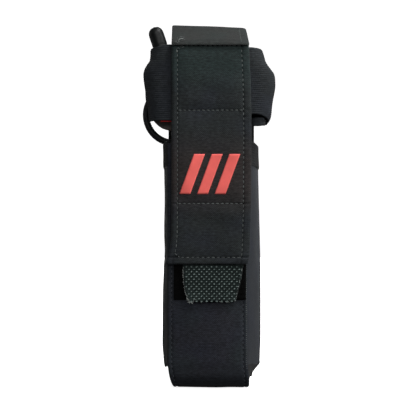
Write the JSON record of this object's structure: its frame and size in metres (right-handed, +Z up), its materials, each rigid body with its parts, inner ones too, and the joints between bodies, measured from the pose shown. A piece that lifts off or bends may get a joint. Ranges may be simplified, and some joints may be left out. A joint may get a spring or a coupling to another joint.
{
  "type": "tourniquet pouch",
  "caption": "Belt pouch with a two-part flap and elastic loop, loaded with a windlass tourniquet and trauma shears that draw out upwards.",
  "frame": {"origin": "middle of the belt channel, on the rear face of the back panel", "axes": "+Z up, front towards -Y, +X to the right as seen from the front"},
  "size_m": [0.0905, 0.0536, 0.246],
  "materials": {
    "cordura": "matte woven nylon",
    "strap_webbing": "matte twill webbing",
    "tab_webbing": "coarse open weave",
    "elastic": "ribbed elastic",
    "binding_tape": "ribbed tape",
    "loop_pile": "deep fuzzy pile",
    "hook_pile": "dense small hooks",
    "print_ink": "flat printed ink",
    "tourniquet_band": "brushed nylon band",
    "grey_tape": "smooth tape",
    "red_tape": "smooth tape",
    "black_nylon": "moulded, satin gloss",
    "clip_plastic": "moulded, glossy",
    "handle_plastic": "moulded, fine grain",
    "blade_steel": "brushed",
    "snap_metal": "black enamelled"
  },
  "bodies": {
    "pouch": {"back_panel": "cordura", "back_strap": "strap_webbing", "front_panel": "cordura", "base_wrap": "cordura", "gusset_left": "cordura", "gusset_right": "cordura", "hem_left": "binding_tape", "hem_right": "binding_tape", "binding_left": "binding_tape", "binding_right": "binding_tape", "elastic_loop": "elastic", "loop_patch": "loop_pile", "belt_anchor": "strap_webbing", "snap_stud": "snap_metal"},
    "belt_strap": {"belt_strap": "strap_webbing", "snap_socket": "snap_metal", "snap_cap": "snap_metal"},
    "flap_top": {"flap_top": "strap_webbing"},
    "flap_front": {"flap_front": "cordura", "hook_patch": "hook_pile", "printed_mark": "print_ink"},
    "pull_tab": {"pull_tab": "tab_webbing"},
    "tourniquet": {"folded_band": "tourniquet_band", "stabilizer_plate": "black_nylon", "windlass_clip": "clip_plastic", "inner_strap": "tourniquet_band", "band_buckle": "black_nylon", "time_strap": "grey_tape", "red_tip": "red_tape"},
    "windlass": {"windlass_rod": "black_nylon"},
    "shears": {"shears_blade": "blade_steel", "shears_handle": "handle_plastic", "shears_screw": "blade_steel"},
    "shears_half": {"shears_moving_blade": "blade_steel", "shears_moving_handle": "handle_plastic"}
  },
  "joints": [
    {"name": "flap_lift", "type": "hinge", "parent": "pouch", "child": "flap_top", "pos_m": [0, 0.001, 0.127], "axis": [-1, 0, 0], "range_deg": [0, 180]},
    {"name": "flap_peel", "type": "hinge", "parent": "flap_top", "child": "flap_front", "pos_m": [0, -0.044, 0.1055], "axis": [-1, 0, 0], "range_deg": [0, 120]},
    {"name": "tab_bend", "type": "hinge", "parent": "flap_front", "child": "pull_tab", "pos_m": [0, -0.043, -0.0374], "axis": [-1, 0, 0], "range_deg": [0, 70]},
    {"name": "belt_strap_swing", "type": "hinge", "parent": "pouch", "child": "belt_strap", "pos_m": [0, 0.0057, 0.0614], "axis": [1, 0, 0], "range_deg": [0, 75]},
    {"name": "tourniquet_draw", "type": "slide", "parent": "pouch", "child": "tourniquet", "axis": [0, 0, 1], "range_m": [0, 0.126]},
    {"name": "windlass_turn", "type": "hinge", "parent": "tourniquet", "child": "windlass", "pos_m": [-0.01314, -0.0338, 0.04883], "axis": [0, 1, 0], "range_deg": [-1, 2.5]},
    {"name": "shears_draw", "type": "slide", "parent": "pouch", "child": "shears", "axis": [0, 0, 1], "range_m": [0, 0.063]},
    {"name": "shears_open", "type": "hinge", "parent": "shears", "child": "shears_half", "pos_m": [-0.006, -0.0092, 0.002], "axis": [0, 1, 0], "range_deg": [0, 4]}
  ],
  "couplings": [
    {"joint": "tourniquet_draw", "follows": "flap_lift", "m_per_rad": 0.04},
    {"joint": "shears_draw", "follows": "flap_lift", "m_per_rad": 0.02}
  ]
}
